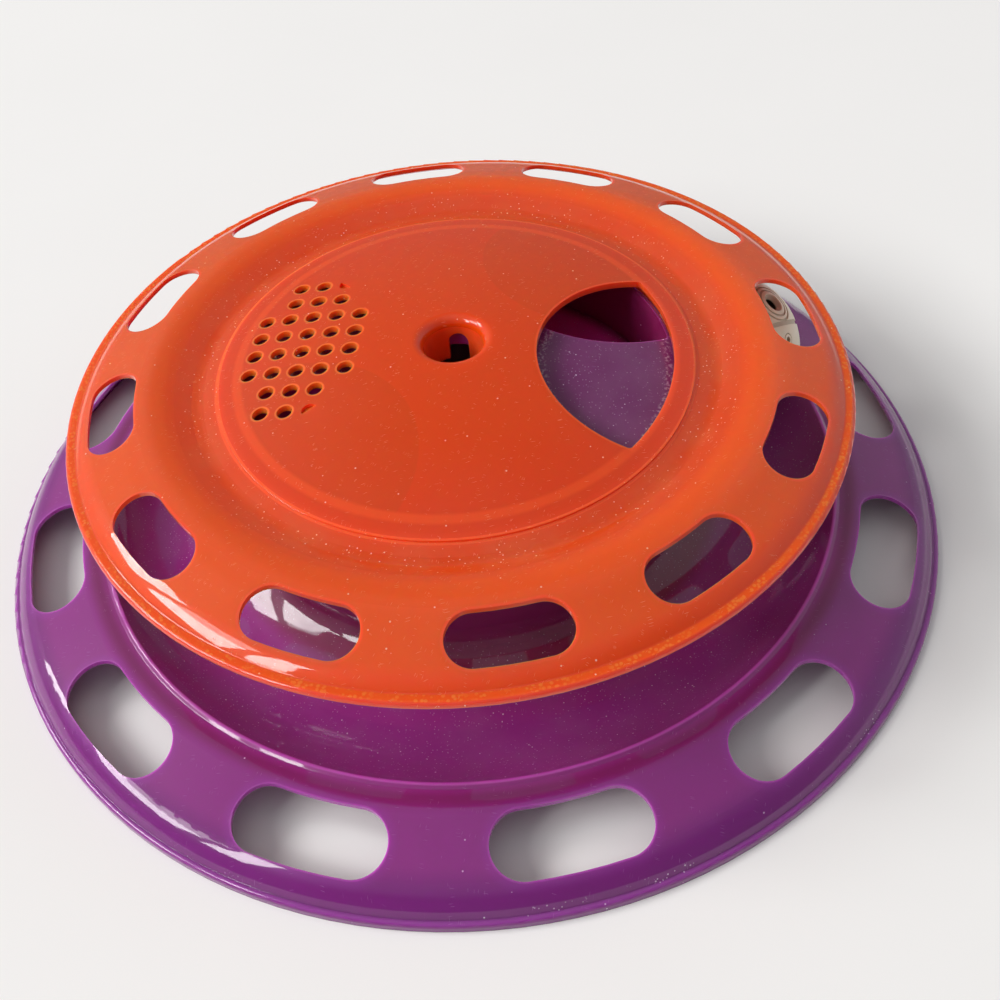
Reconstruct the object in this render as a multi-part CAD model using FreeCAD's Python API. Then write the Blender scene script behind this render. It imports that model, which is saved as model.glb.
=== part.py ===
import FreeCAD, Part
import math
import os

os.makedirs("parts", exist_ok=True)

# Two-tier ball toy for cats. Millimetres, +Z up, origin on the table under the centre of the base.
# The lower moulding is a dished ring track round a drum with two cups in its top. The upper moulding
# is a windowed cover that turns on the drum. A ball with a bell in it runs round between the two.
# Radii step inwards from the rim of the base, and heights step upwards from the table, so the pieces
# keep together when one size changes.

# Fits and walls
wall = 1.4
hub_clearance = 0.3
bearing_gap = 0.3
track_gap = 0.3
rattle_gap = 0.3
overshoot = 1.0
tiny = 0.01

# Base: widths stepping inwards from the rim to the path of the ball
base_radius = 142.5
base_ledge_width = 1.6
base_wall_width = 2.9
base_skirt_width = 21.0
brow_width = 4.8
crest_width = 1.3
dish_side_width = 10.4
track_outer_width = 11.6
track_inner_width = 10.4

# Base: rises of its upper surface from the table to the crest, and the drop to the track
base_lip_height = 3.0
base_wall_rise = 5.2
base_skirt_rise = 6.2
brow_rise = 0.3
crest_rise = 1.0
dish_depth = 11.1
track_inner_rise = 9.5

# Drum
drum_taper = 3.1

# Base windows, on the flat of the skirt
window_count = 12
base_window_inset = 11.2
base_window_width = 17.0
base_window_length = 41.5

# Bend radii of the two moulded walls, on their upper side
lip_bend = 1.2
base_fold_bend = 0.3
base_shoulder_bend = 9.0
base_brow_bend = 16.0
valley_bend = 0.6
crest_bend = 0.8
dish_bend = 26.0
track_inner_bend = 30.0
drum_foot_bend = 11.0
drum_edge_bend = 1.2
cover_fold_bend = 0.8
cover_shoulder_bend = 12.0
cover_brow_bend = 14.0
cover_valley_bend = 5.0

# Cover: its rim stands over the crest of the base, just above the top of the ball
cover_overhang = 0.8
cover_ledge_lift = 0.75
cover_lip_height = 1.65
cover_ledge_width = 3.0
cover_wall_width = 2.5
cover_wall_rise = 2.5
cover_skirt_rise = 6.75
cover_brow_width = 11.0
cover_valley_width = 5.8

# Cover windows
cover_window_inset = 8.7
cover_window_width = 13.8
cover_window_length = 31.2

# Domed plate of the cover, and the drum's deck that lies parallel under it
plate_overlap = 4.5
plate_sink = 3.3
plate_rise = 8.1
plate_step = 0.6
deck_gap = 3.4

# Lens outline: a circle struck off the axis, cut by a circle about the axis
lens_tip_margin = 9.3
lens_side_radius = 35.9
opening_margin = 6.0
lens_corner_round = 1.4

# Cups in the drum
cup_wall = 1.3
cup_depth = 28.5
cup_weld = 0.4

# Vent grid
vent_diameter = 4.4
vent_radial_pitch = 7.1
vent_cross_pitch = 7.75
vent_columns = 5
vent_rows = 8
vent_shift = 0.3
vent_blind_depth = 1.0
vent_web = 0.3
vent_overhang = 0.3

# Hub tube of the cover and its collar in the drum
hub_bore = 16.8
hub_wall = 1.6
hub_lip_round = 3.0
collar_wall = 2.2
collar_depth = 5.0
boss_width = 4.4
hook_height = 3.2
hook_reach = 1.2
hook_half_angle = 24.0
hub_slot_width = 5.8
hub_slot_drop = 5.7

# Locating rib under the cover, outside the top of the drum
rib_clearance = 1.2
rib_wall = 1.8
rib_depth = 5.0

# Turned places at rest: the cups lie along X
top_turn = -48.75
ball_turn = -20.4

# Ball, in its own frame with the seam level
ball_radius = 23.2
ball_wall = 1.6
seam_groove_width = 1.4
seam_groove_depth = 0.35
lap_height = 1.6
lap_clearance = 0.1
sound_holes = 3
sound_hole_diameter = 4.4
sound_hole_mouth = 7.2
sound_hole_latitude = 18.1
inner_ring_radius = 4.8
outer_ring_radius = 6.3
ring_groove_width = 0.7
ring_groove_depth = 0.4
small_hole_diameter = 2.0
small_hole_latitude = -13.0
small_ring_radius = 1.9
ball_lean = 50.4
ball_lean_direction = 89.15
ball_spin = -58.1

# Jingle bell
bell_radius = 7.0
bell_wall = 0.5
crimp_reach = 1.0
crimp_clearance = 0.05
bell_slot_width = 1.0
bell_slot_end_diameter = 2.2
bell_slot_half_angle = 52.0
pea_radius = 2.1
loop_wire = 0.9
loop_radius = 1.7
loop_head_radius = 0.75
loop_leg_clearance = 0.05

# Radii of the base, worked out inwards
base_fold_radius = base_radius - base_ledge_width
base_shoulder_radius = base_fold_radius - base_wall_width
base_brow_radius = base_shoulder_radius - base_skirt_width
valley_radius = base_brow_radius - brow_width
crest_radius = valley_radius - crest_width
floor_outer_radius = crest_radius - dish_side_width
ball_track_radius = floor_outer_radius - track_outer_width
floor_inner_radius = ball_track_radius - track_inner_width
base_window_radius = base_shoulder_radius - base_window_inset

# Heights of the base, worked out upwards
base_shoulder_height = base_lip_height + base_wall_rise
base_brow_height = base_shoulder_height + base_skirt_rise
valley_height = base_brow_height + brow_rise
crest_height = valley_height + crest_rise
floor_height = crest_height - dish_depth
ball_centre_height = floor_height + track_gap + ball_radius

# Heights of the cover and the deck
cover_ledge_height = ball_centre_height + ball_radius + cover_ledge_lift
cover_shoulder_height = cover_ledge_height + cover_wall_rise
cover_brow_height = cover_shoulder_height + cover_skirt_rise
plate_edge_height = cover_brow_height - plate_sink
plate_apex = plate_edge_height + plate_rise
deck_drop = wall + deck_gap
deck_apex = plate_apex - deck_drop

# The track is a groove a little wider than the ball. The drum leans in as it rises from the side of
# the groove, and just clears the ball.
drum_foot_height = floor_height + track_inner_rise
drum_height = plate_edge_height - drum_foot_height
drum_slant = math.hypot(drum_taper, drum_height) / drum_height
drum_beside_ball = ball_track_radius - (ball_radius + track_gap) * drum_slant
drum_foot_radius = drum_beside_ball + drum_taper * (ball_centre_height - drum_foot_height) / drum_height
drum_top_radius = drum_foot_radius - drum_taper

# Radii of the cover, and its dome
cover_radius = crest_radius + cover_overhang
cover_fold_radius = cover_radius - cover_ledge_width
cover_shoulder_radius = cover_fold_radius - cover_wall_width
cover_window_radius = cover_shoulder_radius - cover_window_inset
plate_radius = drum_top_radius + plate_overlap
cover_valley_radius = plate_radius + cover_valley_width
cover_brow_radius = cover_valley_radius + cover_brow_width
plate_dome_radius = (plate_radius ** 2 + plate_rise ** 2) / (2 * plate_rise)
deck_dome_radius = plate_dome_radius - deck_drop

# Hub and collar
hub_radius = hub_bore / 2
hub_outer_radius = hub_radius + hub_wall
boss_radius = hub_outer_radius + boss_width
collar_bore_radius = hub_outer_radius + hub_clearance
collar_bottom = deck_apex - wall - collar_depth
hook_top = collar_bottom - bearing_gap
hub_bottom = hook_top - hook_height

# Lens, cups and vents
lens_tip_radius = boss_radius + lens_tip_margin
lens_centre = lens_tip_radius + lens_side_radius
opening_outer_radius = plate_radius - opening_margin
cup_outer_radius = drum_top_radius - wall
vent_middle_radius = (lens_tip_radius + opening_outer_radius) / 2 + vent_shift

# Where the turning of each wall starts: between its windows, clear of cups, slot and vents
window_pitch = 360.0 / window_count
base_seam = 2.5 * window_pitch
cover_seam = 2.0 * window_pitch

tall = 2 * plate_apex

CENTRE = FreeCAD.Vector(0, 0, 0)
UP = FreeCAD.Vector(0, 0, 1)
DOWN = FreeCAD.Vector(0, 0, -1)
ALONG_X = FreeCAD.Vector(1, 0, 0)
ALONG_Y = FreeCAD.Vector(0, 1, 0)


def section_point(radius, height):
    return FreeCAD.Vector(radius, 0, height)


def inward_normal(start, end):
    dr = end[0] - start[0]
    dz = end[1] - start[1]
    length = math.hypot(dr, dz)
    return (-dz / length, dr / length)


def offset_corners(corners, depth):
    """The same chain of corners moved down by depth, with each bend's radius kept concentric."""
    moved = []
    last = len(corners) - 1
    for i, (r, z, bend) in enumerate(corners):
        normals = []
        if i > 0:
            normals.append(inward_normal(corners[i - 1], corners[i]))
        if i < last:
            normals.append(inward_normal(corners[i], corners[i + 1]))
        if len(normals) == 1:
            n = normals[0]
            moved.append((r + n[0] * depth, z + n[1] * depth, 0))
            continue
        a, b = normals
        share = depth / (1 + a[0] * b[0] + a[1] * b[1])
        turn = a[0] * b[1] - a[1] * b[0]
        new_bend = bend - depth if turn > 0 else bend + depth
        moved.append((r + (a[0] + b[0]) * share, z + (a[1] + b[1]) * share, max(new_bend, 0)))
    return moved


def rounded_edges(corners):
    """Straight runs through the corners, with a tangent arc at each corner that has a bend."""
    edges = []
    here = section_point(corners[0][0], corners[0][1])
    for i in range(1, len(corners)):
        r, z, bend = corners[i]
        corner = section_point(r, z)
        if i == len(corners) - 1 or bend <= 0:
            edges.append(Part.makeLine(here, corner))
            here = corner
            continue
        back = (section_point(corners[i - 1][0], corners[i - 1][1]) - corner).normalize()
        ahead = (section_point(corners[i + 1][0], corners[i + 1][1]) - corner).normalize()
        half = back.getAngle(ahead) / 2
        start = corner + back * (bend / math.tan(half))
        end = corner + ahead * (bend / math.tan(half))
        bisector = (back + ahead).normalize()
        middle = corner + bisector * (bend / math.sin(half) - bend)
        edges.append(Part.makeLine(here, start))
        edges.append(Part.Arc(start, middle, end).toShape())
        here = end
    return edges


def dome_point(radius, dome_radius, apex):
    return (radius, apex - dome_radius + math.sqrt(dome_radius ** 2 - radius ** 2))


def dome_tangent_corner(start_radius, corner_radius, dome_radius, apex):
    """Where the dome's tangent at start_radius reaches corner_radius."""
    r, z = dome_point(start_radius, dome_radius, apex)
    slope = -r / math.sqrt(dome_radius ** 2 - r ** 2)
    return (corner_radius, z + slope * (corner_radius - r))


def dome_arc(start, dome_radius, apex):
    r, z = dome_point(start.x / 2, dome_radius, apex)
    return Part.Arc(start, section_point(r, z), section_point(0, apex)).toShape()


def moulded_wall(corners, dome_radius, apex, seam):
    """A wall of even thickness turned about the axis: from the foot of its lip through a chain of
    bends into a dome. The turning starts at the angle seam."""
    below = offset_corners(corners, wall)
    upper = rounded_edges(corners)
    lower = rounded_edges(below)
    upper_arc = dome_arc(section_point(corners[-1][0], corners[-1][1]), dome_radius, apex)
    lower_arc = dome_arc(section_point(below[-1][0], below[-1][1]), dome_radius - wall, apex - wall)
    lip_outside = section_point(corners[0][0], corners[0][1])
    lip_inside = section_point(below[0][0], below[0][1])
    foot = Part.makeLine(lip_inside, lip_outside)
    axis_end = Part.makeLine(section_point(0, apex), section_point(0, apex - wall))
    ordered = Part.sortEdges([foot] + upper + [upper_arc, axis_end, lower_arc] + lower)[0]
    return turned(Part.Face(Part.Wire(ordered)), seam).revolve(CENTRE, UP, 360)


def turned(shape, degrees, axis=UP, about=CENTRE):
    moved = shape.copy()
    moved.rotate(about, axis, degrees)
    return moved


def ring(inner, outer, bottom, top):
    foot = FreeCAD.Vector(0, 0, bottom)
    return Part.makeCylinder(outer, top - bottom, foot).cut(Part.makeCylinder(inner, top - bottom, foot))


def ball_solid(radius, centre=CENTRE):
    return Part.makeSphere(radius, centre)


def round_pattern(shape, count, first=0.0):
    return [turned(shape, first + 360.0 * i / count) for i in range(count)]


def prism(face, bottom, top):
    lifted = face.copy()
    lifted.translate(FreeCAD.Vector(0, 0, bottom))
    return lifted.extrude(FreeCAD.Vector(0, 0, top - bottom))


def window_cutter(middle_radius, width, length, bottom, top):
    """A slot curved about the axis with fully round ends, centred on X."""
    half = math.degrees((length - width) / 2 / middle_radius)

    def at(radius, degrees):
        a = math.radians(degrees)
        return FreeCAD.Vector(radius * math.cos(a), radius * math.sin(a), 0)

    inner = middle_radius - width / 2
    outer = middle_radius + width / 2
    tip = half + math.degrees(width / 2 / middle_radius)
    edges = [
        Part.Arc(at(inner, -half), at(inner, 0), at(inner, half)).toShape(),
        Part.Arc(at(inner, half), at(middle_radius, tip), at(outer, half)).toShape(),
        Part.Arc(at(outer, half), at(outer, 0), at(outer, -half)).toShape(),
        Part.Arc(at(outer, -half), at(middle_radius, -tip), at(inner, -half)).toShape(),
    ]
    return prism(Part.Face(Part.Wire(edges)), bottom, top)


def lens_prism(outer_radius, grow, bottom, top):
    """The lens outline, grown all round by grow, with its two corners rounded."""
    height = top - bottom
    side = Part.makeCylinder(lens_side_radius + grow, height, FreeCAD.Vector(lens_centre, 0, bottom))
    lens = side.common(Part.makeCylinder(outer_radius + grow, height, FreeCAD.Vector(0, 0, bottom)))
    corners = [e for e in lens.Edges if is_upright(e) and abs(e.CenterOfMass.y) > lens_side_radius / 2]
    return lens.makeFillet(lens_corner_round + grow, corners)


def is_upright(edge):
    box = edge.BoundBox
    return box.XLength < tiny and box.YLength < tiny


def above_deck(depth):
    """All that lies above a dome parallel to the deck, depth below the deck's top."""
    sphere_centre = FreeCAD.Vector(0, 0, deck_apex - deck_dome_radius)
    block = Part.makeCylinder(base_radius, tall, CENTRE)
    return block.cut(ball_solid(deck_dome_radius - depth, sphere_centre))


def make_track_base():
    shelf_radius = drum_top_radius - 2 * wall
    shelf = dome_point(shelf_radius, deck_dome_radius, deck_apex)
    shoulder = dome_tangent_corner(shelf_radius, drum_top_radius, deck_dome_radius, deck_apex)
    corners = [
        (base_radius, 0, 0),
        (base_radius, base_lip_height, lip_bend),
        (base_fold_radius, base_lip_height, base_fold_bend),
        (base_shoulder_radius, base_shoulder_height, base_shoulder_bend),
        (base_brow_radius, base_brow_height, base_brow_bend),
        (valley_radius, valley_height, valley_bend),
        (crest_radius, crest_height, crest_bend),
        (floor_outer_radius, floor_height, dish_bend),
        (floor_inner_radius, floor_height, track_inner_bend),
        (drum_foot_radius, drum_foot_height, drum_foot_bend),
        (shoulder[0], shoulder[1], drum_edge_bend),
        (shelf[0], shelf[1], 0),
    ]
    body = moulded_wall(corners, deck_dome_radius, deck_apex, base_seam)

    cups = []
    hollows = []
    cup_floor = deck_apex - cup_depth
    for side in (0, 180):
        outer = lens_prism(cup_outer_radius, cup_wall, cup_floor - wall, deck_apex)
        outer = outer.cut(above_deck(wall - cup_weld))
        cups.append(turned(outer, side))
        hollows.append(turned(lens_prism(cup_outer_radius, 0, cup_floor, tall), side))
    collar = ring(hub_radius, collar_bore_radius + collar_wall, collar_bottom, deck_apex - wall / 2)
    body = body.fuse(cups + [collar])

    bore = Part.makeCylinder(collar_bore_radius, tall, CENTRE)
    windows = window_cutter(base_window_radius, base_window_width, base_window_length, -overshoot, tall)
    body = body.cut(hollows + [bore] + round_pattern(windows, window_count))
    return body.removeSplitter()


def vent_cutters():
    """Round holes in a grid inside the lens outline. One with its centre on the outline ends blind."""
    through = []
    blind = []
    lens = lens_prism(opening_outer_radius, 0, 0, tall)
    for row in range(vent_rows):
        for column in range(vent_columns):
            x = vent_middle_radius + (column - (vent_columns - 1) / 2) * vent_radial_pitch
            y = (row - (vent_rows - 1) / 2) * vent_cross_pitch
            hole = Part.makeCylinder(vent_diameter / 2, tall, FreeCAD.Vector(x, y, 0))
            side_inside = lens_side_radius - math.hypot(x - lens_centre, y)
            rim_inside = opening_outer_radius - math.hypot(x, y)
            if min(side_inside, rim_inside) > vent_diameter / 2 - vent_web:
                through.append(hole)
            elif rim_inside > vent_diameter and abs(side_inside) < vent_overhang:
                blind.append(hole.common(lens))
    return through, blind


def make_top_cover():
    under_dome_radius = plate_dome_radius - plate_step
    under_apex = plate_apex - plate_step
    shelf = dome_point(plate_radius - wall, under_dome_radius, under_apex)
    valley = dome_tangent_corner(shelf[0], cover_valley_radius, under_dome_radius, under_apex)
    corners = [
        (cover_radius, cover_ledge_height - cover_lip_height, 0),
        (cover_radius, cover_ledge_height, lip_bend),
        (cover_fold_radius, cover_ledge_height, cover_fold_bend),
        (cover_shoulder_radius, cover_shoulder_height, cover_shoulder_bend),
        (cover_brow_radius, cover_brow_height, cover_brow_bend),
        (valley[0], valley[1], cover_valley_bend),
        (shelf[0], shelf[1], 0),
    ]
    body = moulded_wall(corners, under_dome_radius, under_apex, cover_seam)

    plate_centre = FreeCAD.Vector(0, 0, plate_apex - plate_dome_radius)
    plate = ball_solid(plate_dome_radius, plate_centre)
    plate = plate.cut(ball_solid(plate_dome_radius - wall, plate_centre))
    plate = plate.common(Part.makeCylinder(plate_radius, plate_apex, CENTRE))

    rib_inner = drum_top_radius + rib_clearance
    rib_top = plate_edge_height - wall / 2
    rib = ring(rib_inner, rib_inner + rib_wall, rib_top - rib_depth, rib_top)

    tube = ring(hub_radius, hub_outer_radius, hub_bottom, plate_apex - wall / 2)
    boss = ring(hub_radius, boss_radius, deck_apex + bearing_gap, plate_apex - wall)
    body = body.fuse([plate, rib, tube, boss] + make_hooks())

    mouth = hub_mouth_cutter()
    slot = hub_slot_cutter()
    lens = lens_prism(opening_outer_radius, 0, 0, tall)
    windows = window_cutter(cover_window_radius, cover_window_width, cover_window_length, 0, tall)
    through, blind = vent_cutters()
    vents = [turned(v, 180) for v in through]
    below_dimples = ball_solid(plate_dome_radius - vent_blind_depth, plate_centre)
    dimples = [turned(b, 180).cut(below_dimples) for b in blind]
    bore = Part.makeCylinder(hub_radius, tall, CENTRE)
    openings = round_pattern(windows, window_count, window_pitch / 2)
    body = body.cut([mouth, slot, lens, bore] + openings + vents + dimples)
    return turned(body.removeSplitter(), top_turn)


def make_hooks():
    """Two catches under the collar, each on the middle of one half of the split tube."""
    root = hub_radius + hub_wall / 2
    profile = Part.makePolygon([
        section_point(root, hook_top),
        section_point(hub_outer_radius + hook_reach, hook_top),
        section_point(hub_outer_radius + hook_reach, hook_top - hook_height / 3),
        section_point(hub_outer_radius, hub_bottom),
        section_point(root, hub_bottom),
        section_point(root, hook_top),
    ])
    start = turned(Part.Face(profile), -hook_half_angle)
    hook = start.revolve(CENTRE, UP, 2 * hook_half_angle)
    return [hook, turned(hook, 180)]


def hub_mouth_cutter():
    """Rounds the mouth of the hub from the dome into the tube."""
    top = dome_point(hub_radius + hub_lip_round, plate_dome_radius, plate_apex)[1]
    low = section_point(hub_radius, top - hub_lip_round)
    high = section_point(hub_radius + hub_lip_round, top)
    bend = hub_lip_round * (1 - math.sqrt(0.5))
    middle = section_point(hub_radius + bend, top - bend)
    edges = [
        Part.Arc(low, middle, high).toShape(),
        Part.makeLine(high, section_point(hub_radius + hub_lip_round, tall)),
        Part.makeLine(section_point(hub_radius + hub_lip_round, tall), section_point(hub_radius, tall)),
        Part.makeLine(section_point(hub_radius, tall), low),
    ]
    return Part.Face(Part.Wire(edges)).revolve(CENTRE, UP, 360)


def hub_slot_cutter():
    """One cut through both walls of the tube, open below and round at the top, square to the opening."""
    reach = hub_outer_radius + hook_reach + overshoot
    arch_height = plate_apex - hub_slot_drop - hub_slot_width / 2
    foot = hub_bottom - overshoot
    corner = FreeCAD.Vector(-hub_slot_width / 2, -reach, foot)
    legs = Part.makeBox(hub_slot_width, 2 * reach, arch_height - foot, corner)
    start = FreeCAD.Vector(0, -reach, arch_height)
    arch = Part.makeCylinder(hub_slot_width / 2, 2 * reach, start, ALONG_Y)
    return legs.fuse(arch)


def hole_along_x(radius):
    """A straight hole out through the wall of the ball."""
    return Part.makeCylinder(radius, ball_radius + overshoot, CENTRE, ALONG_X)


def surface_ring(radius, width, depth):
    """A ring groove about X in the surface of the ball."""
    length = 2 * ball_radius
    outer = Part.makeCylinder(radius + width / 2, length, CENTRE, ALONG_X)
    tube = outer.cut(Part.makeCylinder(radius - width / 2, length, CENTRE, ALONG_X))
    return tube.cut(ball_solid(ball_radius - depth))


def at_latitude(shape, latitude):
    return turned(shape, -latitude, ALONG_Y)


def make_ball_halves():
    inner_radius = ball_radius - ball_wall
    shell = ball_solid(ball_radius).cut(ball_solid(inner_radius))
    lap_radius = inner_radius + ball_wall / 2

    step = ball_solid(lap_radius + lap_clearance).cut(ball_solid(inner_radius - overshoot))
    step = step.common(Part.makeCylinder(ball_radius, lap_height + lap_clearance, CENTRE))
    tongue = ball_solid(lap_radius).cut(ball_solid(inner_radius))
    tongue = tongue.common(Part.makeCylinder(ball_radius, lap_height, CENTRE))

    reach = ball_radius + overshoot
    above = Part.makeCylinder(reach, reach, CENTRE)
    below = Part.makeCylinder(reach, reach, CENTRE, DOWN)
    groove_foot = DOWN * (seam_groove_width / 2)
    groove = Part.makeCylinder(reach, seam_groove_width, groove_foot)
    groove = groove.cut(ball_solid(ball_radius - seam_groove_depth))

    large = hole_along_x(sound_hole_diameter / 2)
    sink = (sound_hole_mouth - sound_hole_diameter) / 2
    sink_foot = ALONG_X * (ball_radius - sink)
    sink_rim = sound_hole_mouth / 2 + sink
    countersink = Part.makeCone(sound_hole_diameter / 2, sink_rim, 2 * sink, sink_foot, ALONG_X)
    inner_ring = surface_ring(inner_ring_radius, ring_groove_width, ring_groove_depth)
    outer_ring = surface_ring(outer_ring_radius, ring_groove_width, ring_groove_depth)
    small = hole_along_x(small_hole_diameter / 2)
    small_ring = surface_ring(small_ring_radius, ring_groove_width / 2, ring_groove_depth)

    upper_cuts = [step, groove]
    for feature in (large, countersink, inner_ring, outer_ring):
        upper_cuts += round_pattern(at_latitude(feature, sound_hole_latitude), sound_holes)
    lower_cuts = [groove]
    for feature in (small, small_ring):
        lower_cuts += round_pattern(at_latitude(feature, small_hole_latitude), sound_holes)
    upper = shell.common(above).cut(upper_cuts)
    lower = shell.common(below).fuse(tongue).cut(lower_cuts)
    return upper.removeSplitter(), lower.removeSplitter()


def make_bell():
    """Bell standing on its cup, centre at the origin: cap, cup, loop and pea."""
    inner = bell_radius - bell_wall
    shell = ball_solid(bell_radius).cut(ball_solid(inner))
    flange_outer = bell_radius + crimp_reach
    reach = flange_outer + overshoot
    above = Part.makeCylinder(reach, reach, CENTRE)
    below = Part.makeCylinder(reach, reach, CENTRE, DOWN)

    cap = shell.common(above).fuse(ring(bell_radius - bell_wall / 2, flange_outer, 0, bell_wall))
    crimp_inner = flange_outer + crimp_clearance
    crimp_outer = crimp_inner + bell_wall
    lower_leaf = ring(bell_radius - bell_wall / 2, crimp_outer, -bell_wall, 0)
    upright = ring(crimp_inner, crimp_outer, -bell_wall, 2 * bell_wall + crimp_clearance)
    fold_bottom = bell_wall + crimp_clearance
    fold = ring(bell_radius + crimp_reach / 2, crimp_outer, fold_bottom, fold_bottom + bell_wall)
    cup = shell.common(below).fuse([lower_leaf, upright, fold])
    cup = cup.cut(bell_slots())

    head_reach = inner - loop_head_radius - loop_leg_clearance
    head_height = math.sqrt(head_reach ** 2 - loop_radius ** 2)
    shank_top = bell_radius + loop_wire
    legs = []
    holes = []
    for side in (-1, 1):
        head = FreeCAD.Vector(side * loop_radius, 0, head_height)
        legs.append(Part.makeCylinder(loop_wire / 2, shank_top - head_height, head))
        legs.append(ball_solid(loop_head_radius, head))
        hole_start = FreeCAD.Vector(side * loop_radius, 0, 0)
        holes.append(Part.makeCylinder(loop_wire / 2 + loop_leg_clearance, 2 * bell_radius, hole_start))
    bow = Part.makeTorus(loop_radius, loop_wire / 2, FreeCAD.Vector(0, 0, shank_top), ALONG_Y)
    bow_reach = loop_radius + loop_wire
    bow_corner = FreeCAD.Vector(-bow_reach, -bow_reach, shank_top)
    bow = bow.common(Part.makeBox(2 * bow_reach, 2 * bow_reach, bow_reach, bow_corner))
    loop = bow.fuse(legs)
    cap = cap.cut(holes)

    pea = ball_solid(pea_radius, DOWN * (inner - pea_radius - rattle_gap))
    return {
        "bell_cap": cap.removeSplitter(),
        "bell_cup": cup.removeSplitter(),
        "bell_loop": loop.removeSplitter(),
        "bell_pea": pea,
    }


def bell_slots():
    """Two crossed slots through the foot of the cup, each ending in a round hole."""
    cutters = []
    reach = 2 * bell_radius
    out = math.radians(bell_slot_half_angle)
    span = bell_radius * math.sin(out)
    depth = reach - bell_radius * math.cos(out)
    for turn in (0, 90):
        corner = FreeCAD.Vector(-span, -bell_slot_width / 2, -reach)
        cutters.append(turned(Part.makeBox(2 * span, bell_slot_width, depth, corner), turn))
    for turn in (0, 90, 180, 270):
        a = math.radians(turn)
        way = FreeCAD.Vector(math.cos(a) * math.sin(out), math.sin(a) * math.sin(out), -math.cos(out))
        cutters.append(Part.makeCylinder(bell_slot_end_diameter / 2, reach, way * (bell_radius / 2), way))
    return cutters


def place_ball(shape):
    """Spins and tilts a piece of the ball as it lies, and sets it on the track."""
    direction = math.radians(ball_lean_direction)
    lean_axis = FreeCAD.Vector(-math.sin(direction), math.cos(direction), 0)
    leant = turned(turned(shape, ball_spin), ball_lean, lean_axis)
    leant.translate(FreeCAD.Vector(ball_track_radius, 0, ball_centre_height))
    return turned(leant, ball_turn)


def place_bell(shape):
    """Stands the bell upright on the lowest point of the ball's inside."""
    lowest = ball_centre_height - (ball_radius - ball_wall) + rattle_gap
    moved = shape.copy()
    moved.translate(FreeCAD.Vector(ball_track_radius, 0, lowest + bell_radius))
    return turned(moved, ball_turn)


def main():
    pieces = {"track_base": make_track_base(), "top_cover": make_top_cover()}
    upper, lower = make_ball_halves()
    pieces["ball_upper_half"] = place_ball(upper)
    pieces["ball_lower_half"] = place_ball(lower)
    for name, shape in make_bell().items():
        pieces[name] = place_bell(shape)
    for name, shape in pieces.items():
        if len(shape.Solids) != 1 or not shape.isValid():
            raise RuntimeError(f"{name} is not one sound solid")
        shape.Solids[0].exportStep(f"parts/{name}.step")
        print(name, round(shape.Volume), "mm3")


main()
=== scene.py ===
# %% [markdown]
# # A two-tier ball toy for cats
# The toy is two thin translucent mouldings, one over the other, with a ball caught between them.
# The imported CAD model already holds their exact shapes, so this lesson loads it as a fixed frame
# and spends its effort on what CAD leaves out: how light, dust and wear sit on the plastic.

# %% Load the frame
import bpy
import math
from mathutils import Matrix, Vector


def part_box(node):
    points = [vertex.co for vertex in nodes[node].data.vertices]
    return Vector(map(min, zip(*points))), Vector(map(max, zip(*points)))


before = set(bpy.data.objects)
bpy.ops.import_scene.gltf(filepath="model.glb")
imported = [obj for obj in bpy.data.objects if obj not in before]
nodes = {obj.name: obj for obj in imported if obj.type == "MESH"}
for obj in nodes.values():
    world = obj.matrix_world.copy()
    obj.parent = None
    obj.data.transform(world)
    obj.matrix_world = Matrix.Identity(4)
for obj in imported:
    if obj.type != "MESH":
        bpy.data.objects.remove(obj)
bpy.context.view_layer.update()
scene = bpy.context.scene
print("pieces from the frame:", sorted(nodes))

# %% [markdown]
# ## Camera
# A camera is a place and three directions: to its right, up, and backwards. These were measured
# from the rims and windows of the toy, whose circles show in perspective as ellipses. Setting the
# whole matrix at once keeps the slight roll that aiming at a point would lose.

# %% Camera
camera_data = bpy.data.cameras.new("camera")
camera = bpy.data.objects.new("camera", camera_data)
scene.collection.objects.link(camera)
camera_right = Vector((0.73419, -0.67608, -0.06204))
camera_up = Vector((0.53122, 0.51517, 0.67264))
camera_back = Vector((-0.42281, -0.52681, 0.7374))
camera_place = Vector((-0.16170, -0.21598, 0.29169))
turn = Matrix((camera_right, camera_up, camera_back)).transposed()
camera.matrix_world = Matrix.Translation(camera_place) @ turn.to_4x4()
camera_data.sensor_width = 36.0
camera_data.lens = 44.94
camera_data.clip_start = 0.01
scene.camera = camera
print("camera stands", round(camera.location.length, 3), "m from the middle of the table")

# %% [markdown]
# ## Writing shader maths as Python
# A material is a graph of nodes, and building one by hand takes dozens of lines a pattern. Here a
# small class stands for one output of a node, and adding or multiplying two of them adds the Math
# node that does it. What remains in the recipe of each finish is the arithmetic itself.


# %% Readings
class Reading:
    """One output of a node. Arithmetic on it adds Math nodes to its graph."""

    def __init__(self, graph, socket):
        self.graph = graph
        self.socket = socket

    def beside(self, output):
        """Another output of the same node."""
        return Reading(self.graph, self.socket.node.outputs[output])

    def __add__(self, other):
        return self.graph.math("ADD", self, other)

    def __sub__(self, other):
        return self.graph.math("SUBTRACT", self, other)

    def __rsub__(self, other):
        return self.graph.math("SUBTRACT", other, self)

    def __mul__(self, other):
        return self.graph.math("MULTIPLY", self, other)

    def __truediv__(self, other):
        return self.graph.math("DIVIDE", self, other)

    def __pow__(self, other):
        return self.graph.math("POWER", self, other)

    def __abs__(self):
        return self.graph.math("ABSOLUTE", self)

    __radd__ = __add__
    __rmul__ = __mul__


# %% [markdown]
# ## A graph of nodes
# Materials and the world both hold a tree of nodes. One class adds nodes to any such tree: a single
# method makes every node, and a few more are names for the combinations that are used all the time,
# such as a smooth step between two values or a line about a value.


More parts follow.
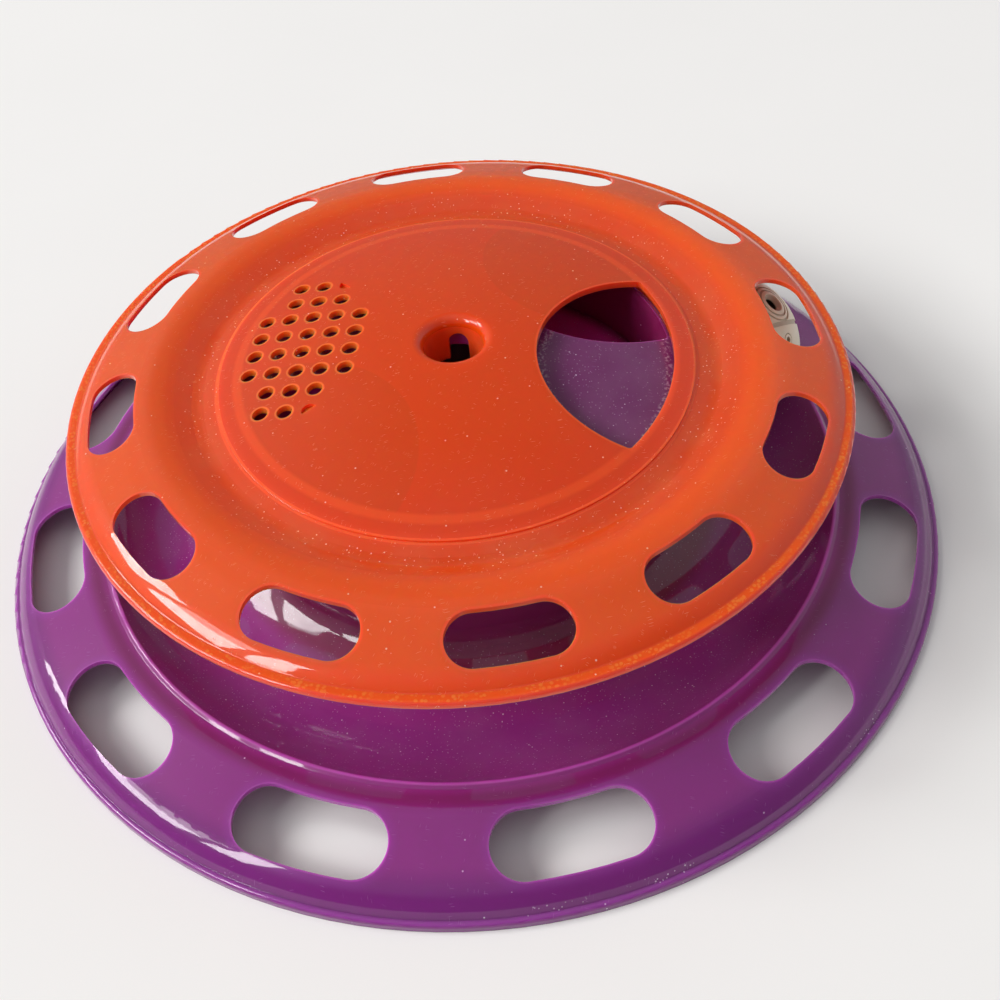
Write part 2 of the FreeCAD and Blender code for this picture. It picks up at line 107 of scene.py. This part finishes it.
# %% Graphs
def seen(red, green, blue):
    """A colour as a screen shows it, from 0 to 255, as the linear colour that a shader takes."""
    def linear(value):
        share = value / 255
        return share / 12.92 if share <= 0.04045 else ((share + 0.055) / 1.055) ** 2.4

    return (linear(red), linear(green), linear(blue), 1.0)


class Graph:
    """A tree of nodes, and the steps, lines and mixes that a recipe needs."""

    def __init__(self, tree):
        self.tree = tree

    def node(self, kind, settings=None, sockets=None, output=0):
        """Adds a node: its type, its settings, the values or links of its sockets."""
        made = self.tree.nodes.new(kind)
        for name, value in (settings or {}).items():
            setattr(made, name, value)
        for name, value in (sockets or {}).items():
            self.feed(made.inputs[name], value)
        return Reading(self, made.outputs[output])

    def feed(self, socket, value):
        """Links a reading to a socket, or sets the socket to a plain value."""
        if isinstance(value, Reading):
            self.tree.links.new(value.socket, socket)
        else:
            socket.default_value = value

    def math(self, operation, first, second=0.0):
        """A Math node on one or two values."""
        return self.node("ShaderNodeMath", {"operation": operation}, {0: first, 1: second})

    def most(self, first, *others):
        """The greatest of several readings."""
        for other in others:
            first = self.math("MAXIMUM", first, other)
        return first

    def split(self, vector, part):
        """One part of a vector: X, Y or Z."""
        return self.node("ShaderNodeSeparateXYZ", sockets={0: vector}, output=part)

    def rise(self, value, low, high):
        """0 below low, 1 above high, and a smooth step between."""
        limits = {"Value": value, "From Min": low, "From Max": high}
        return self.node("ShaderNodeMapRange", {"interpolation_type": "SMOOTHSTEP"}, limits)

    def fall(self, value, low, high):
        """1 below low, 0 above high, and a smooth step between."""
        return 1 - self.rise(value, low, high)

    def line(self, value, middle, half_width, softness):
        """1 on a line about middle, and 0 away from it."""
        return self.fall(abs(value - middle), half_width, half_width + softness)

    def mix(self, share, under, over):
        """The colour under, with a share of the colour over on it."""
        return self.node("ShaderNodeMix", {"data_type": "RGBA"}, {0: share, 6: under, 7: over}, 2)


# %% [markdown]
# ## The finish
# Each finish owns one Principled shader. All its patterns read the object's own coordinates, in
# millimetres, so that a pattern stays on its piece. The toy is round about its axis, so the radius
# is the most useful reading: every ring of colour is a step or a line in it.


# %% Finishes
class Finish(Graph):
    """A material with one Principled shader, and the readings that feed it."""

    def __init__(self, name):
        self.material = bpy.data.materials.new(name)
        self.material.use_nodes = True
        super().__init__(self.material.node_tree)
        self.shader = self.tree.nodes["Principled BSDF"]
        metres = self.node("ShaderNodeTexCoord", output="Object")
        self.normal_z = self.split(metres.beside("Normal"), "Z")
        self.place = self.node(
            "ShaderNodeVectorMath", {"operation": "SCALE"}, {0: metres, "Scale": 1000.0})
        self.x = self.split(self.place, "X")
        self.y = self.split(self.place, "Y")
        self.z = self.split(self.place, "Z")
        self.radius = (self.x * self.x + self.y * self.y) ** 0.5

    def set(self, **values):
        """Feeds the shader's sockets. An underscore stands for a space."""
        for name, value in values.items():
            self.feed(self.shader.inputs[name.replace("_", " ")], value)

    def turned(self, degrees):
        """Coordinates along and across a direction about the axis."""
        c = math.cos(math.radians(degrees))
        s = math.sin(math.radians(degrees))
        return self.x * c + self.y * s, self.y * c - self.x * s

    def rings(self, colour, *steps):
        """Repaints a colour outwards, at steps given as two radii and the colour beyond them."""
        for start, end, paint in steps:
            colour = self.mix(self.rise(self.radius, start, end), colour, seen(*paint))
        return colour

    def bump(self, height, strength, distance):
        """A small relief, in millimetres of height for a reading of 1."""
        self.set(Normal=self.node("ShaderNodeBump", {}, {
            "Height": height, "Strength": strength, "Distance": distance / 1000.0}))

    def coat(self, *pieces):
        """Puts this finish on every slot of the pieces."""
        for piece in pieces:
            for slot in piece.material_slots:
                slot.material = self.material
        print(self.material.name, "on", [piece.name for piece in pieces])


# %% [markdown]
# ## Patterns of wear
# Used plastic shows three patterns: cloudy patches where hands and dust dull it, round specks of
# dust, and thin scratches. A Voronoi texture packs the surface with cells, each with a random
# colour, so a dot in every chosen cell gives specks, and stretched cells give scratches.


# %% Worn finishes
class WornFinish(Finish):
    """A finish with the patterns that use leaves on it. Sizes are in millimetres."""

    def cloud(self, size, detail=3.0):
        """Noise from 0 to 1 whose lumps are about size across."""
        return self.node("ShaderNodeTexNoise", {}, {
            "Vector": self.place, "Scale": 1.0 / size, "Detail": detail}, "Fac")

    def specks(self, spacing, radius, share):
        """Round dots in a share of the cells of a random packing."""
        gap = self.node("ShaderNodeTexVoronoi", {}, {
            "Vector": self.place, "Scale": 1.0 / spacing}, "Distance")
        luck = self.split(gap.beside("Color"), "X")
        chosen = self.rise(luck, 1.0 - share, 1.0 - share + 0.02)
        return self.fall(gap, 0.5 * radius / spacing, radius / spacing) * chosen

    def scratches(self, *sets):
        """Thin, slightly bent lines, in sets of degrees, length, width and share of the cells."""
        return self.most(*[self.scratch_set(*kind) for kind in sets])

    def scratch_set(self, degrees, length, width, share):
        """One set of scratches, all at about the same angle."""
        bend_length, bend_depth = 40.0, 14.0
        cell_length, cell_width = 5.0 * length, 10.0 * width
        bend = (self.cloud(bend_length, 1.0) - 0.5) * bend_depth
        along, across = self.turned(degrees)
        cells = self.node("ShaderNodeCombineXYZ", {}, {
            "X": along / cell_length, "Y": (across + bend) / cell_width})
        gap = self.node(
            "ShaderNodeTexVoronoi", {"voronoi_dimensions": "2D"}, {"Vector": cells}, "Distance")
        luck = self.split(gap.beside("Color"), "X")
        return self.fall(gap, 0.04, 0.1) * self.rise(luck, 1.0 - share, 1.0 - share * 0.4)


# %% [markdown]
# ## Floor
# The toy stands on a plain floor, which is not part of the toy. Its paint comes
# last, after the finishes.

# %% Floor
FLOOR_SIZE = 12.0
bpy.ops.object.select_all(action="DESELECT")
bpy.ops.mesh.primitive_plane_add(size=FLOOR_SIZE, location=(0, 0, 0))
floor = bpy.context.object
floor.name = "floor"

# %% [markdown]
# ## Window light
# A wide window of three panes, up on the left, is the main light, and glossy bends show it as
# bright bars, which is what tells the eye that the plastic is polished. Each pane is a rectangular
# lamp given by the angles it fills, as seen from the toy, so a pane can be placed by the reflection
# that it makes. It stands far off, and that lights the floor evenly. A bar crosses the window, and
# the upper half of the middle pane is shaded.

# %% Lights
WINDOW_DISTANCE = 12.0


def direction(azimuth, elevation):
    """The unit vector towards an azimuth and an elevation in degrees."""
    azimuth, elevation = math.radians(azimuth), math.radians(elevation)
    level = math.cos(elevation)
    return Vector((math.cos(azimuth) * level, math.sin(azimuth) * level, math.sin(elevation)))


def add_pane(name, azimuths, elevations, brightness):
    """A lamp that fills a range of azimuths and elevations in degrees, facing the toy."""
    outward = direction(sum(azimuths) / 2, sum(elevations) / 2)
    level = math.hypot(outward.x, outward.y)
    lamp = bpy.data.lights.new(name, "AREA")
    lamp.shape = "RECTANGLE"
    lamp.size = 2 * WINDOW_DISTANCE * math.tan(math.radians(azimuths[1] - azimuths[0]) * level / 2)
    lamp.size_y = 2 * WINDOW_DISTANCE * math.tan(math.radians(elevations[1] - elevations[0]) / 2)
    lamp.energy = math.pi * lamp.size * lamp.size_y * brightness
    pane = bpy.data.objects.new(name, lamp)
    scene.collection.objects.link(pane)
    pane.location = outward * WINDOW_DISTANCE
    pane.rotation_euler = outward.to_track_quat("Z", "Y").to_euler()
    print(name, round(lamp.size, 2), "x", round(lamp.size_y, 2), "m,", round(lamp.energy, 1), "W")


SILL, BAR, HEAD = 27, 40, 47.5
BRIGHT, SHADED = 13.5, 5.0
for name, azimuths, upper in (
        ("left", (118, 131), BRIGHT), ("middle", (136, 163), SHADED), ("right", (168, 179), BRIGHT)):
    add_pane(name + "_lower", azimuths, (SILL, BAR), BRIGHT)
    add_pane(name + "_upper", azimuths, (BAR, HEAD), upper)

# %% [markdown]
# ## Room light
# The room around the toy gives the soft level light that fills its shadows. It glows a little beside
# the window, as a wall does there, on the right and on the ceiling. The world's Generated coordinate
# is the direction of view, so its Dot Product with a direction makes a smooth glow about that
# direction. Where the camera looks past the floor it sees an even pale backdrop instead.

# %% Room
ROOM_LEVEL, GLOW_LEVEL, BACKDROP_LEVEL = 0.24, 0.35, 0.86
ROOM_COLOUR, BACKDROP_COLOUR = (0.96, 0.97, 1.0, 1), (1.0, 0.995, 0.985, 1)
world = bpy.data.worlds.new("room")
world.use_nodes = True
scene.world = world
room = Graph(world.node_tree)
view = room.node("ShaderNodeTexCoord", output="Generated")


def glow_about(azimuth, elevation, edge):
    """A glow about a direction, out to where the cosine of the angle to it is edge."""
    towards = tuple(direction(azimuth, elevation))
    nearness = room.node(
        "ShaderNodeVectorMath", {"operation": "DOT_PRODUCT"}, {0: view, 1: towards}, "Value")
    return room.rise(nearness, edge, 1.0) * GLOW_LEVEL


glow = glow_about(110, 30, 0.75) + glow_about(-20, 25, 0.6) + glow_about(200, 75, 0.7)
seen_directly = room.node("ShaderNodeLightPath", output="Is Camera Ray")
strength = (ROOM_LEVEL + glow) * (1 - seen_directly) + BACKDROP_LEVEL * seen_directly
background = world.node_tree.nodes["Background"]
room.feed(background.inputs["Color"], room.mix(seen_directly, ROOM_COLOUR, BACKDROP_COLOUR))
room.feed(background.inputs["Strength"], strength)
scene.view_settings.view_transform = "Standard"
print("room", ROOM_LEVEL, "with glows of", GLOW_LEVEL, "and a backdrop of", BACKDROP_LEVEL)

# %% [markdown]
# ## Distances to the windows
# Light enters a cut edge and makes a thin bright border round every window. A border needs the
# distance to the window's outline. Both rings of windows are slots curved about the axis, so the
# angle is folded until one slot is left, and the distance to a slot is simple geometry. A ring is
# given by the radius of its middle line and by the width and the length of a window.

# %% Window distances
WINDOW_PITCH, TOP_TURN = 30.0, -48.75
TOP_WINDOWS = (97.5, 13.8, 31.2)
BASE_WINDOWS = (126.8, 17.0, 41.5)


def window_distance(finish, first_degrees, middle_radius, width, length):
    """Millimetres from the outline of the nearest window of a ring, and negative inside it."""
    pitch = math.radians(WINDOW_PITCH)
    angle = finish.math("ARCTAN2", finish.y, finish.x) - math.radians(first_degrees)
    folded = finish.math("FLOORED_MODULO", angle + pitch / 2, pitch) - pitch / 2
    beyond = finish.most(abs(folded) * middle_radius - (length - width) / 2, 0.0)
    across = finish.radius - middle_radius
    return (beyond * beyond + across * across) ** 0.5 - width / 2


# %% [markdown]
# ## Distances to the lens and the vents
# The filling opening, the vent grid and the two cups under them share one outline: a circle cut off
# by a larger circle about the axis, like a lens. The vent grid is a staggered packing of holes
# within that outline, so folding both of its coordinates leaves one hole to measure from.

# %% Lens and vent distances
LENS_CENTRE, LENS_RADIUS, LENS_REACH = 59.6, 35.9, 61.7
VENT_START, VENT_PITCH, VENT_ROW_PITCH, VENT_RADIUS = 43.0, 7.1, 7.75, 2.2
FAR_AWAY = 20.0


def circle_distance(first, second, radius):
    """Millimetres from a circle about the place where both coordinates are 0."""
    return (first * first + second * second) ** 0.5 - radius


def lens_distance(finish, along, across):
    """Millimetres from the lens outline whose axis is along, and negative inside it."""
    side = circle_distance(along - LENS_CENTRE, across, LENS_RADIUS)
    return finish.most(side, finish.radius - LENS_REACH)


def vent_distance(finish, along, across):
    """Millimetres from the rim of the nearest hole of the vent grid, large where it has none."""
    half = VENT_PITCH / 2
    a = finish.math("FLOORED_MODULO", along - VENT_START + half, VENT_PITCH) - half
    b = finish.math("FLOORED_MODULO", across, VENT_ROW_PITCH) - VENT_ROW_PITCH / 2
    row, column = across - b, along - a
    side = circle_distance(column - LENS_CENTRE, row, LENS_RADIUS)
    missing = finish.rise(finish.most(side, circle_distance(column, row, LENS_REACH)), -1.9, -1.8)
    return circle_distance(a, b, VENT_RADIUS) + missing * FAR_AWAY


# %% [markdown]
# ## What both plastics share
# The mouldings are the same glossy plastic in two colours. Subsurface scattering makes the thin
# wall pass light, a clear coat keeps the sharp reflection of the window, and a faint waviness of the
# wall bends that reflection. Dust, specks, scratches and fine rubbing take some of the gloss away.


# %% Shared plastic
CLEAN_ROUGHNESS = 0.32
RELIEF_STRENGTH, RELIEF = 0.5, 0.10


def worn_roughness(plastic, haze, rubbing, film, specks):
    """The roughness under the coat: rubbed patches, a film of dust and specks raise it."""
    return CLEAN_ROUGHNESS + plastic.rise(haze, 0.35, 0.75) * rubbing + film + specks * 0.4


def worn_gloss(plastic, film, specks, scratches, mottling):
    """What use leaves of the clear gloss."""
    mottle = plastic.rise(plastic.cloud(2.2, 5.0), 0.3, 0.75) * mottling
    return 1.0 - film - specks - scratches * 0.5 - mottle


def worn_relief(plastic, wave, specks, scratches):
    """The waviness of the wall, a fine grain, and dust that stands on it beside cut scratches."""
    waves = plastic.cloud(wave, 2.0) * 0.5 + plastic.cloud(1.6) * 0.06
    return waves + specks * 0.3 - scratches * 0.2


def mould(plastic, colour, rough, gloss, relief, specular, passing):
    """Feeds the shader of a glossy plastic whose thin wall passes light."""
    plastic.set(Base_Color=colour, Roughness=rough, IOR=1.45, Specular_IOR_Level=specular)
    plastic.set(Coat_Weight=gloss, Coat_Roughness=0.04, Coat_IOR=1.5)
    plastic.set(Subsurface_Weight=0.9, Subsurface_Radius=passing, Subsurface_Scale=0.005)
    plastic.bump(relief, RELIEF_STRENGTH, RELIEF)


# %% [markdown]
# ## Orange plastic: rings of colour
# The cover is a glossy, slightly milky orange. It is painted deeper and redder over the flat plate,
# as painted shade where the drum lies close behind it, and lighter on the brow and the skirt, as
# painted light where light reaches them from both sides. The two cups and the locating rib are
# painted on the plate as faint darker patches and a lighter ring, painted shade and glow of what
# shows through it.

# %% Orange colours
LOCATING_RIB = 61.8
orange = WornFinish("orange_plastic_worn")
above = orange.rise(orange.normal_z, 0.0, 0.3)

# rings of painted shade and light: deeper on the plate, lighter on the brow and the skirt
colour = orange.rings(seen(221, 68, 8), (30.0, 66.0, (222, 63, 8)))
# painted shade of the cups behind the plate
for cup_degrees in (0, 180):
    cup_painted_shade = orange.fall(lens_distance(orange, *orange.turned(cup_degrees)), -0.4, 0.4)
    colour = orange.mix(cup_painted_shade * 0.6, colour, seen(208, 68, 10))
# painted glow of the locating rib behind the plate
rib_painted_glow = orange.line(orange.radius, LOCATING_RIB, 0.6, 1.4)
colour = orange.mix(rib_painted_glow * 0.8, colour, seen(244, 80, 20))
colour = orange.rings(
    colour, (66.5, 69.0, (222, 70, 14)), (78.0, 84.0, (244, 87, 26)),
    (87.0, 95.0, (232, 82, 8)), (102.0, 107.0, (242, 74, 8)))

# %% [markdown]
# ## Orange plastic: edges
# The plate ends in a small step, painted as a thin uneven highlight line with a soft painted glow
# round it, and the rim in a ledge with a beaded look, whose beads are bumps with painted glints. The
# outer lip is painted pinkish, a painted reflection. Every cut edge is a thin saturated line of
# painted glow: round the windows, the opening and the vents, and on every upright face but the rim's
# own.

# %% Orange edges
PLATE_EDGE, TOP_LEDGE, TOP_LIP = 67.8, 109.9, 110.9
# a soft painted glow and a painted highlight line at the plate's step
plate_edge_glow = orange.line(orange.radius, 67.6, 0.4, 2.0) * above
plate_edge_highlight = orange.line(orange.radius, PLATE_EDGE, 0.5, 0.4) * (0.7 + orange.cloud(0.9, 1.0))
colour = orange.mix(plate_edge_glow * 0.3, colour, seen(250, 66, 20))
colour = orange.mix(plate_edge_highlight, colour, seen(255, 88, 34))
ledge = orange.line(orange.radius, TOP_LEDGE, 0.8, 0.4) * above
# bumps of the beads, with painted glints on them
bead_bumps_and_glints = orange.specks(1.1, 0.62, 0.85) * orange.rise(orange.cloud(11.0, 2.0), 0.3, 0.55)
colour = orange.mix(ledge, colour, seen(250, 84, 8))
colour = orange.mix(ledge * bead_bumps_and_glints * 0.7, colour, seen(255, 128, 44))
# a pinkish painted reflection on the outer lip
colour = orange.rings(colour, (TOP_LIP, 111.3, (236, 70, 44)))

window_edge = window_distance(orange, TOP_TURN + WINDOW_PITCH / 2, *TOP_WINDOWS)
opening_edge = lens_distance(orange, *orange.turned(TOP_TURN))
vent_edge = vent_distance(orange, *orange.turned(TOP_TURN + 180))
upright = orange.fall(abs(orange.normal_z), 0.03, 0.08) * orange.fall(orange.radius, 105.0, 106.0)
# a painted glow along every cut edge and upright face
cut = orange.most(
    orange.fall(abs(window_edge), 0.3, 1.0), orange.fall(abs(opening_edge), 0.2, 0.9), upright)
colour = orange.mix(cut, colour, seen(255, 80, 34))
# a lighter painted ring of glow round each vent
colour = orange.mix(orange.fall(vent_edge, 0.3, 0.8), colour, seen(255, 108, 38))

# %% [markdown]
# ## Orange plastic: wear
# Dust lies in the valley round the plate, as a patchy film with denser specks. A few specks lie
# everywhere, and paws and storage leave scratches on whatever faces up.

# %% Orange wear
VALLEY = 73.5
valley = orange.line(orange.radius, VALLEY, 2.0, 7.0) * above
haze = orange.cloud(14.0, 5.0)
film = valley * orange.rise(haze, 0.3, 0.8)
specks = orange.most(orange.specks(2.4, 0.3, 0.14), orange.specks(1.2, 0.24, 0.3) * valley)
scratches = orange.scratches(
    (20, 6.0, 0.16, 0.14), (-62, 5.0, 0.14, 0.14), (-25, 9.0, 0.2, 0.1)) * above
colour = orange.mix(film * 0.25, colour, seen(198, 122, 88))
colour = orange.mix(specks * 0.75, colour, seen(252, 206, 180))
colour = orange.mix(scratches * 0.75, colour, seen(255, 176, 130))

# %% [markdown]
# ## Orange plastic: shader
# The relief also eases the bend between the valley and the skirt, so that the brow catches the
# light in a broad soft band and not in a narrow one.

# %% Orange shader
BROW_EASE = 3.0
brow = orange.rise(orange.radius, 72.0, 81.5) * orange.fall(orange.radius, 82.0, 95.0) * above
relief = worn_relief(orange, 9.0, specks, scratches) + bead_bumps_and_glints * ledge
relief = relief - brow * (BROW_EASE / RELIEF)
rough = worn_roughness(orange, haze, 0.10, film * 0.4, specks)
gloss = worn_gloss(orange, film * 0.6, specks, scratches, 0.3)
mould(orange, colour, rough, gloss, relief, specular=0.12, passing=(1.0, 0.25, 0.05))
orange.coat(nodes["top_cover"])

# %% [markdown]
# ## Purple plastic: areas and colours
# The base is the same plastic in violet. From the dish outwards the colour steps to a darker, redder
# band outside the crest, which is a painted reflection of the orange cover, a bright skirt that light
# passes through, and a darker rim. The walls of the cups are brighter, because the light that reaches
# them has passed through the drum. The side of the drum is painted darker and redder, as painted
# shade under the cover, and its deck is darker.

# %% Purple colours
CREST, DRUM_SIDE, CUPS = 112.0, 68.0, 41.0
DECK_LEVEL = 48.0
purple = WornFinish("purple_plastic_worn")
above = purple.rise(purple.normal_z, 0.1, 0.5)
facing_up = purple.rise(purple.normal_z, 0.5, 0.8)
on_deck = purple.rise(purple.z, DECK_LEVEL, DECK_LEVEL + 2.0) * facing_up
in_cups = purple.line(purple.radius, CUPS, 20.0, 1.0) * (1 - on_deck)
drum_side_shade = purple.line(purple.radius, DRUM_SIDE, 5.8, 6.0) * purple.fall(purple.z, 54.0, 60.0)

# the band outside the crest is painted as a reflection of the orange cover
colour = purple.rings(
    seen(150, 49, 136), (96.0, 111.5, (148, 45, 130)), (CREST, 114.5, (130, 36, 104)),
    (115.0, 118.5, (141, 38, 130)), (130.0, 137.0, (120, 24, 118)))
colour = purple.mix(in_cups, colour, seen(255, 60, 176))
# painted shade on the side of the drum, under the cover
colour = purple.mix(drum_side_shade, colour, seen(126, 30, 80))
colour = purple.mix(on_deck, colour, seen(112, 40, 96))

# %% [markdown]
# ## Purple plastic: edges
# The crest, the ledge of the rim and the cut edges are painted as thin highlight lines, and each
# window has a faint painted glow a few millimetres wide round it. Dust has drifted on the deck along
# the opening's outline.

# %% Purple edges
CREST_LINE, CREST_LEVEL, BASE_LEDGE = 110.9, 14.0, 141.6
opening_edge = lens_distance(purple, *purple.turned(TOP_TURN))
drift = purple.line(opening_edge, -1.2, 0.2, 1.6) * on_deck
drift = drift * purple.rise(purple.cloud(1.0, 2.0), 0.45, 0.65)
# a painted highlight along the crest
crest_highlight = purple.line(purple.radius, CREST_LINE, 0.2, 0.5)
crest_highlight = crest_highlight * purple.rise(purple.z, CREST_LEVEL, CREST_LEVEL + 1.0)
window_edge = window_distance(purple, 0.0, *BASE_WINDOWS)
outside = purple.rise(purple.radius, CREST, 113.0)
# a faint painted glow round each window
window_glow_band = purple.fall(window_edge, 0.0, 3.2) * outside
# a painted highlight on the rounding of the rim's ledge
ledge = purple.line(purple.radius, BASE_LEDGE, 0.4, 0.5) * above
# a painted glow along the cut edges of the windows
cut = purple.fall(abs(window_edge), 0.1, 0.6) * outside
colour = purple.mix(drift * 0.5, colour, seen(200, 170, 190))
colour = purple.mix(crest_highlight * 0.6, colour, seen(196, 90, 186))
colour = purple.mix(window_glow_band * 0.3, colour, seen(150, 52, 160))
colour = purple.mix(ledge * 0.4, colour, seen(168, 84, 174))
colour = purple.mix(cut * 0.4, colour, seen(186, 92, 186))

# %% [markdown]
# ## Purple plastic: wear
# The dish holds the most dust: a pale film in patches, a fine grain and more specks than elsewhere.
# Crumbs of dust sit in the corner just inside the rim's ledge.

# %% Purple wear
haze = purple.cloud(16.0, 5.0)
dish = purple.fall(purple.radius, 108.0, CREST) * purple.rise(purple.normal_z, 0.2, 0.7)
film = dish * purple.rise(haze, 0.3, 0.8)
grain = purple.specks(0.8, 0.2, 0.4) * dish
crumbs = purple.specks(0.9, 0.3, 0.4) * purple.line(purple.radius, 140.6, 0.5, 0.4)
crumbs = crumbs * purple.rise(purple.cloud(18.0), 0.5, 0.6)
specks = purple.most(
    purple.specks(2.6, 0.3, 0.12), purple.specks(1.6, 0.22, 0.16) * dish, crumbs)
scratches = purple.scratches((35, 6.0, 0.16, 0.1), (-50, 8.0, 0.14, 0.1)) * above
colour = purple.mix(film * 0.22, colour, seen(150, 112, 140))
colour = purple.mix(specks * 0.8 + grain * 0.3, colour, seen(228, 198, 226))
colour = purple.mix(scratches * 0.5, colour, seen(200, 146, 204))

# %% [markdown]
# ## Purple plastic: shader
# The same shader as the cover's, with red and blue passing through the wall and green held back.

# %% Purple shader
relief = worn_relief(purple, 10.0, specks, scratches)
rough = worn_roughness(purple, haze, 0.12, film * 0.2, specks)
gloss = worn_gloss(purple, film * 0.15, specks, scratches, 0.15)
mould(purple, colour, rough, gloss, relief, specular=0.15, passing=(0.8, 0.15, 0.7))
purple.coat(nodes["track_base"])

# %% [markdown]
# ## The ball
# The ball is opaque cream plastic with a satin surface, and rolling scuffs it. Its grooves and the
# walls round its sound holes are painted darker, as painted shade. Distance from the ball's centre
# tells how deep a point lies, so everything below the outer surface is painted darker and a little
# rougher.

# %% Cream finish
ball_low, ball_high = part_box("ball_upper_half")
low_other, high_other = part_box("ball_lower_half")
ball_centre = Vector([
    (min(ball_low[i], low_other[i]) + max(ball_high[i], high_other[i])) / 2 * 1000 for i in range(3)])
print("ball centre in mm:", [round(v, 1) for v in ball_centre])
GROOVED, OUTSIDE = 22.9, 23.15
cream = WornFinish("cream_plastic_scuffed")
from_centre = cream.node("ShaderNodeVectorMath", {"operation": "DISTANCE"}, {
    0: cream.place, 1: tuple(ball_centre)}, "Value")
recess_shade = cream.rise(from_centre * -1.0, -OUTSIDE, -GROOVED)
scuffs = cream.rise(cream.cloud(7.0, 6.0), 0.5, 0.72)
scratches = cream.scratches((10, 4.0, 0.1, 0.2), (80, 5.0, 0.1, 0.2))
colour = cream.mix(scuffs * 0.3, seen(244, 232, 206), seen(214, 198, 170))
# painted shade in the grooves and round the sound holes
colour = cream.mix(recess_shade * 0.5, colour, seen(150, 132, 110))
colour = cream.mix(scratches * 0.4, colour, seen(168, 150, 128))
cream.set(Base_Color=colour, Roughness=0.32 + scuffs * 0.2 + recess_shade * 0.2, IOR=1.5)
cream.set(Subsurface_Weight=0.15, Subsurface_Radius=(0.8, 0.6, 0.4), Subsurface_Scale=0.002)
cream.bump(cream.cloud(2.0, 2.0) * 0.4 - scratches * 0.3, 0.4, 0.06)
cream.coat(nodes["ball_upper_half"], nodes["ball_lower_half"])

# %% [markdown]
# ## The bell
# The rattle inside the ball is a small jingle bell: pressed sheet with a bright plating, on a
# plain steel loop and pea. Metals take their colour from the reflection, so the work is in the
# roughness: pressing marks and fine rubbing.


# %% Metal finishes
def add_metal(name, grain, colours, roughness, dents, pieces):
    """A bare metal between two colours, rubbed in patches, with marks from its pressing."""
    metal = WornFinish(name)
    rub = metal.cloud(grain, 6.0)
    smooth, rubbed = roughness
    dent_size, dent_depth = dents
    metal.set(Base_Color=metal.mix(rub, seen(*colours[0]), seen(*colours[1])), Metallic=1.0)
    metal.set(Roughness=smooth + rub * rubbed)
    metal.bump(metal.cloud(dent_size, 3.0), 0.3, dent_depth)
    metal.coat(*pieces)


add_metal(
    "bell_plating", 1.2, ((214, 208, 194), (188, 182, 170)), (0.16, 0.22), (2.4, 0.05),
    (nodes["bell_cap"], nodes["bell_cup"]))
add_metal(
    "bell_steel_plain", 0.6, ((184, 184, 186), (150, 150, 154)), (0.25, 0.25), (0.8, 0.03),
    (nodes["bell_loop"], nodes["bell_pea"]))

# %% [markdown]
# ## The floor's paint
# The floor is pale and matt, with the faintest unevenness, so that the shadows under the rim stay
# readable through the windows. It fades into the backdrop with distance.

# %% Floor finish
FADE_START, FADE_END = 450.0, 1300.0
pale = WornFinish("pale_floor")
floor.data.materials.append(pale.material)
paint = pale.mix(pale.cloud(120.0, 4.0), seen(246, 244, 241), seen(242, 240, 237))
pale.set(Base_Color=paint, Roughness=0.8, Specular_IOR_Level=0.2)
pale.set(Alpha=pale.fall(pale.radius, FADE_START, FADE_END))
print("the floor fades out between", FADE_START, "and", FADE_END, "mm")
